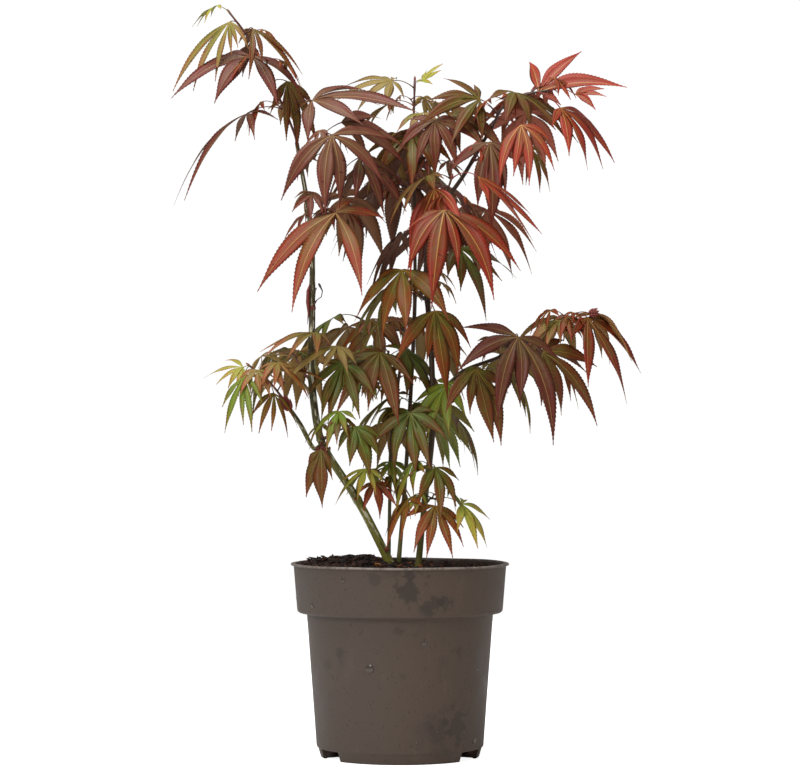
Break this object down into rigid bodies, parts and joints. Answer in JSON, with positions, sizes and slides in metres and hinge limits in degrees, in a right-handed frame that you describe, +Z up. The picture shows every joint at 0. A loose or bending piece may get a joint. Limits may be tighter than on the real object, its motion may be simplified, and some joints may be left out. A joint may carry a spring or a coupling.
{
  "type": "potted japanese maple",
  "caption": "Young many-stemmed Japanese maple with red, bronze and green palmate leaves, in a round plastic nursery pot filled with compost.",
  "frame": {"origin": "on the ground, at the middle of the whole plant's box seen from above", "axes": "+Z up, +X to the right of the plant's front, +Y towards its back"},
  "size_m": [0.4032, 0.3114, 0.6486],
  "materials": {
    "pot_plastic": "taupe grey, moulded matte",
    "compost": "dark moist fibres and bark chips",
    "green_bark": "olive green with pale streaks",
    "brown_bark": "smooth brown",
    "purple_leaf": "satin",
    "red_leaf": "satin",
    "bronze_leaf": "satin",
    "green_leaf": "satin"
  },
  "bodies": {
    "root": {"pot": "pot_plastic", "compost": "compost", "stem_left": "green_bark", "stem_right": "brown_bark", "stem_centre": "brown_bark", "stem_thin": "brown_bark", "bough_left": "green_bark", "bough_right": "brown_bark", "bough_back": "brown_bark", "foliage_crown_left_tip": "bronze_leaf", "foliage_inner_left": "purple_leaf", "foliage_shoulder_left": "purple_leaf", "foliage_crown_centre": "bronze_leaf", "foliage_crown_inner": "purple_leaf", "foliage_crown_right_tip": "red_leaf", "foliage_crown_right_inner": "red_leaf", "foliage_heart": "red_leaf", "foliage_breast": "bronze_leaf", "foliage_waist": "bronze_leaf", "foliage_left_low": "bronze_leaf", "foliage_waist_left": "bronze_leaf", "foliage_right_tip": "bronze_leaf", "foliage_right_back": "bronze_leaf", "foliage_right_mid": "purple_leaf", "foliage_right_inner": "green_leaf", "foliage_middle": "green_leaf", "foliage_node_left": "green_leaf", "foliage_low_left": "green_leaf", "foliage_low_mid": "green_leaf", "foliage_low_right": "green_leaf", "foliage_back_crown": "purple_leaf", "foliage_back_right": "red_leaf", "foliage_back_left": "bronze_leaf", "foliage_back_low": "green_leaf", "foliage_back_low_left": "green_leaf"}
  },
  "joints": []
}
